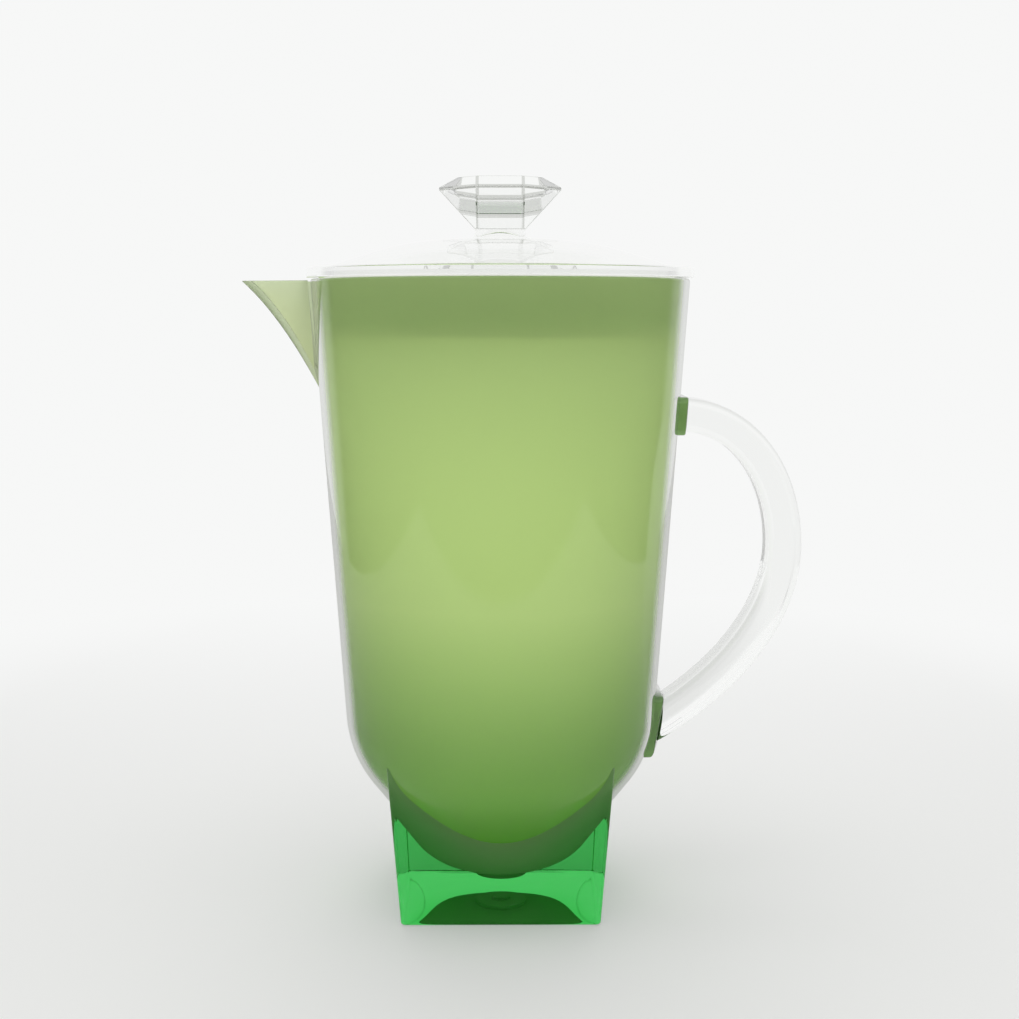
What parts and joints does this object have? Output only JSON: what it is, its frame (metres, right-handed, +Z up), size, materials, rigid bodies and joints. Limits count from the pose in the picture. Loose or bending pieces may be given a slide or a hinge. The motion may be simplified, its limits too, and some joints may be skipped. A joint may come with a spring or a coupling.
{
  "type": "water jug",
  "caption": "Tall tapered water jug of milky green acrylic with a square clear foot, pouring spout, arched clear handle and lift-off domed lid with a faceted knob.",
  "frame": {"origin": "on the vessel's axis, in the plane of the foot's flat base that the jug stands on", "axes": "+Z up along the vessel's axis, +X towards the handle, -X towards the spout, +Y across"},
  "size_m": [0.2116, 0.1446, 0.2754],
  "materials": {
    "milky_green": "glossy, milky",
    "clear_green": "polished, clear",
    "clear": "polished, clear"
  },
  "bodies": {
    "vessel": {"body": "milky_green", "spout": "milky_green", "upper_pad": "milky_green", "lower_pad": "milky_green", "foot": "clear_green", "handle": "clear"},
    "cover": {"lid": "clear", "knob": "clear"}
  },
  "joints": [
    {"name": "lid_lift", "type": "slide", "parent": "vessel", "child": "cover", "axis": [0, 0, 1], "range_m": [0, 0.06]}
  ]
}
